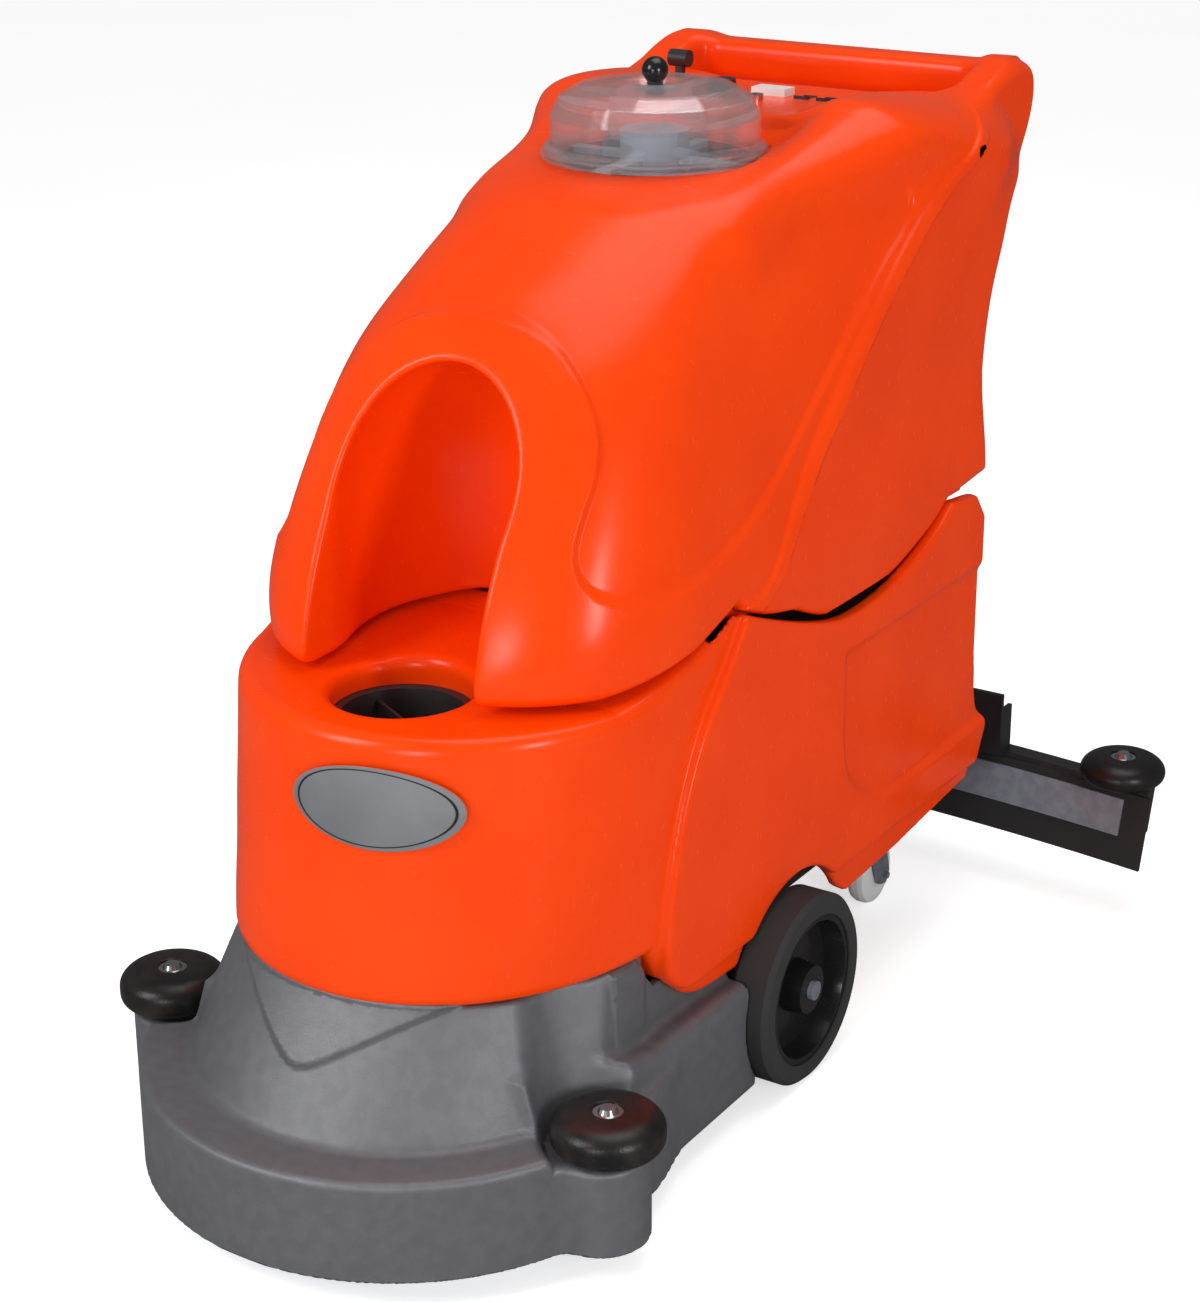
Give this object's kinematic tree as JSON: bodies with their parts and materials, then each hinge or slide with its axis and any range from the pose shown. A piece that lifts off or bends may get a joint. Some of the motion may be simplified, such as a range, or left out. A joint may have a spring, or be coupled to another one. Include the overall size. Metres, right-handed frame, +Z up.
{
  "type": "walk-behind floor scrubber",
  "caption": "Walk-behind floor scrubber with stacked moulded tanks, a round brush deck, a rear squeegee, guide rollers, a clear domed lid and a moulded push handle.",
  "frame": {"origin": "on the floor at the centre of the footprint, with the wheel axle straight above it", "axes": "+Z up, -Y towards the brush deck at the front, +X to the machine's left"},
  "size_m": [0.818, 1.18, 0.9966],
  "materials": {
    "orange_tank": "satin, lightly rippled moulded polyethylene",
    "grey_deck": "grained metallic grey plastic",
    "silver_badge": "brushed oval plate",
    "black_plastic": "satin black",
    "battery_case": "matte black case",
    "gauge_face": "pale gauge window",
    "black_steel": "semi-gloss black paint",
    "zinc_steel": "zinc plated",
    "tyre_rubber": "dusty black tyre",
    "roller_plastic": "polished black",
    "pale_nylon": "pale nylon",
    "black_rubber": "matte rubber",
    "squeegee_body": "satin black",
    "brush_plastic": "moulded plastic",
    "brush_tufts": "packed bristles",
    "clear_lid": "clear moulded plastic",
    "grey_cage": "grey plastic",
    "white_float": "white plastic",
    "grey_hose": "ribbed flexible hose",
    "motor_paint": "black enamel",
    "gear_casting": "bare casting",
    "valve_plastic": "moulded"
  },
  "bodies": {
    "root": {"chassis_frame": "black_steel", "deck_cover": "grey_deck", "solution_tank": "orange_tank", "badge_plate": "silver_badge", "filler_strainer": "black_plastic", "wheel_axle": "zinc_steel", "axle_collars": "zinc_steel", "caster_plates": "zinc_steel", "brush_motor": "motor_paint", "brush_gearbox": "gear_casting", "battery_left": "battery_case", "battery_right": "battery_case", "battery_lead": "black_rubber", "vacuum_motor": "motor_paint", "solution_valve": "valve_plastic", "feed_hose": "grey_hose", "front_roller_bolts": "zinc_steel", "suction_port": "black_plastic", "hinge_leaf_low": "zinc_steel", "squeegee_pivot": "zinc_steel", "suction_hose": "grey_hose"},
    "recovery": {"recovery_tank": "orange_tank", "lid_seal": "black_rubber", "float_cage": "grey_cage", "control_panel": "black_plastic", "battery_gauge": "gauge_face", "key_switch": "black_plastic", "panel_screws": "zinc_steel", "hinge_leaf_high": "zinc_steel"},
    "lid": {"lid_dome": "clear_lid", "lid_knob": "black_plastic"},
    "float": {"float_ball": "white_float"},
    "switch_brush": {"switch_brush": "black_plastic"},
    "switch_vacuum": {"switch_vacuum": "black_plastic"},
    "water_knob": {"water_knob": "black_plastic"},
    "squeegee_lever": {"squeegee_lever": "black_plastic"},
    "brush": {"brush_hub": "brush_plastic", "brush_block": "brush_plastic", "brush_bristles": "brush_tufts"},
    "wheel_left": {"wheel_left": "black_plastic", "tyre_left": "tyre_rubber"},
    "wheel_right": {"wheel_right": "black_plastic", "tyre_right": "tyre_rubber"},
    "caster_left": {"caster_fork_left": "zinc_steel"},
    "caster_left_wheel": {"caster_wheel_left": "pale_nylon"},
    "caster_right": {"caster_fork_right": "zinc_steel"},
    "caster_right_wheel": {"caster_wheel_right": "pale_nylon"},
    "front_roller_left": {"front_roller_left": "roller_plastic"},
    "front_roller_right": {"front_roller_right": "roller_plastic"},
    "squeegee": {"squeegee_arm": "black_steel", "squeegee_carrier": "black_steel", "squeegee_channel": "squeegee_body", "squeegee_blade_front": "black_rubber", "squeegee_blade_rear": "black_rubber", "squeegee_strips": "zinc_steel", "squeegee_collector": "black_plastic", "squeegee_knobs": "black_plastic", "squeegee_roller_bolts": "zinc_steel"},
    "squeegee_roller_left": {"squeegee_roller_left": "roller_plastic"},
    "squeegee_roller_right": {"squeegee_roller_right": "roller_plastic"}
  },
  "joints": [
    {"name": "tank_tilt", "type": "hinge", "parent": "root", "child": "recovery", "pos_m": [0, 0.445, 0.507], "axis": [-1, 0, 0], "range_deg": [0, 42]},
    {"name": "lid_lift", "type": "slide", "parent": "recovery", "child": "lid", "axis": [0, 0, 1], "range_m": [0, 0.12]},
    {"name": "float_rise", "type": "slide", "parent": "recovery", "child": "float", "axis": [0, 0, 1], "range_m": [0, 0.1]},
    {"name": "switch_brush_rock", "type": "hinge", "parent": "recovery", "child": "switch_brush", "pos_m": [0.04, 0.342, 0.9253], "axis": [1, 0, 0], "range_deg": [0, 10]},
    {"name": "switch_vacuum_rock", "type": "hinge", "parent": "recovery", "child": "switch_vacuum", "pos_m": [0.066, 0.342, 0.9253], "axis": [1, 0, 0], "range_deg": [0, 10]},
    {"name": "water_knob_turn", "type": "hinge", "parent": "recovery", "child": "water_knob", "pos_m": [-0.06, 0.342, 0.9253], "axis": [0, 0, 1], "range_deg": [0, 270]},
    {"name": "squeegee_lever_swing", "type": "hinge", "parent": "recovery", "child": "squeegee_lever", "pos_m": [-0.1, 0.322, 0.9253], "axis": [-1, 0, 0], "range_deg": [0, 39]},
    {"name": "brush_spin", "type": "hinge", "parent": "root", "child": "brush", "pos_m": [0, -0.333, 0.06], "axis": [0, 0, 1], "continuous": true},
    {"name": "wheel_left_roll", "type": "hinge", "parent": "root", "child": "wheel_left", "pos_m": [0.234, 0, 0.1], "axis": [1, 0, 0], "continuous": true},
    {"name": "wheel_right_roll", "type": "hinge", "parent": "root", "child": "wheel_right", "pos_m": [-0.234, 0, 0.1], "axis": [1, 0, 0], "continuous": true},
    {"name": "caster_left_swivel", "type": "hinge", "parent": "root", "child": "caster_left", "pos_m": [0.12, 0.368, 0.09], "axis": [0, 0, 1], "continuous": true},
    {"name": "caster_left_roll", "type": "hinge", "parent": "caster_left", "child": "caster_left_wheel", "pos_m": [0.12, 0.39, 0.0375], "axis": [1, 0, 0], "continuous": true},
    {"name": "caster_right_swivel", "type": "hinge", "parent": "root", "child": "caster_right", "pos_m": [-0.12, 0.368, 0.09], "axis": [0, 0, 1], "continuous": true},
    {"name": "caster_right_roll", "type": "hinge", "parent": "caster_right", "child": "caster_right_wheel", "pos_m": [-0.12, 0.39, 0.0375], "axis": [1, 0, 0], "continuous": true},
    {"name": "front_roller_left_spin", "type": "hinge", "parent": "root", "child": "front_roller_left", "pos_m": [0.254, -0.382, 0.137], "axis": [0, 0, 1], "continuous": true},
    {"name": "front_roller_right_spin", "type": "hinge", "parent": "root", "child": "front_roller_right", "pos_m": [-0.254, -0.382, 0.137], "axis": [0, 0, 1], "continuous": true},
    {"name": "squeegee_lift", "type": "hinge", "parent": "root", "child": "squeegee", "pos_m": [0, 0.3, 0.133], "axis": [-1, 0, 0], "range_deg": [0, 13], "deforming": ["suction_hose"]},
    {"name": "squeegee_roller_left_spin", "type": "hinge", "parent": "squeegee", "child": "squeegee_roller_left", "pos_m": [0.361, 0.542, 0.167], "axis": [0, 0, 1], "continuous": true},
    {"name": "squeegee_roller_right_spin", "type": "hinge", "parent": "squeegee", "child": "squeegee_roller_right", "pos_m": [-0.361, 0.542, 0.167], "axis": [0, 0, 1], "continuous": true}
  ],
  "couplings": [
    {"joint": "squeegee_lever_swing", "follows": "squeegee_lift", "ratio": 3}
  ]
}
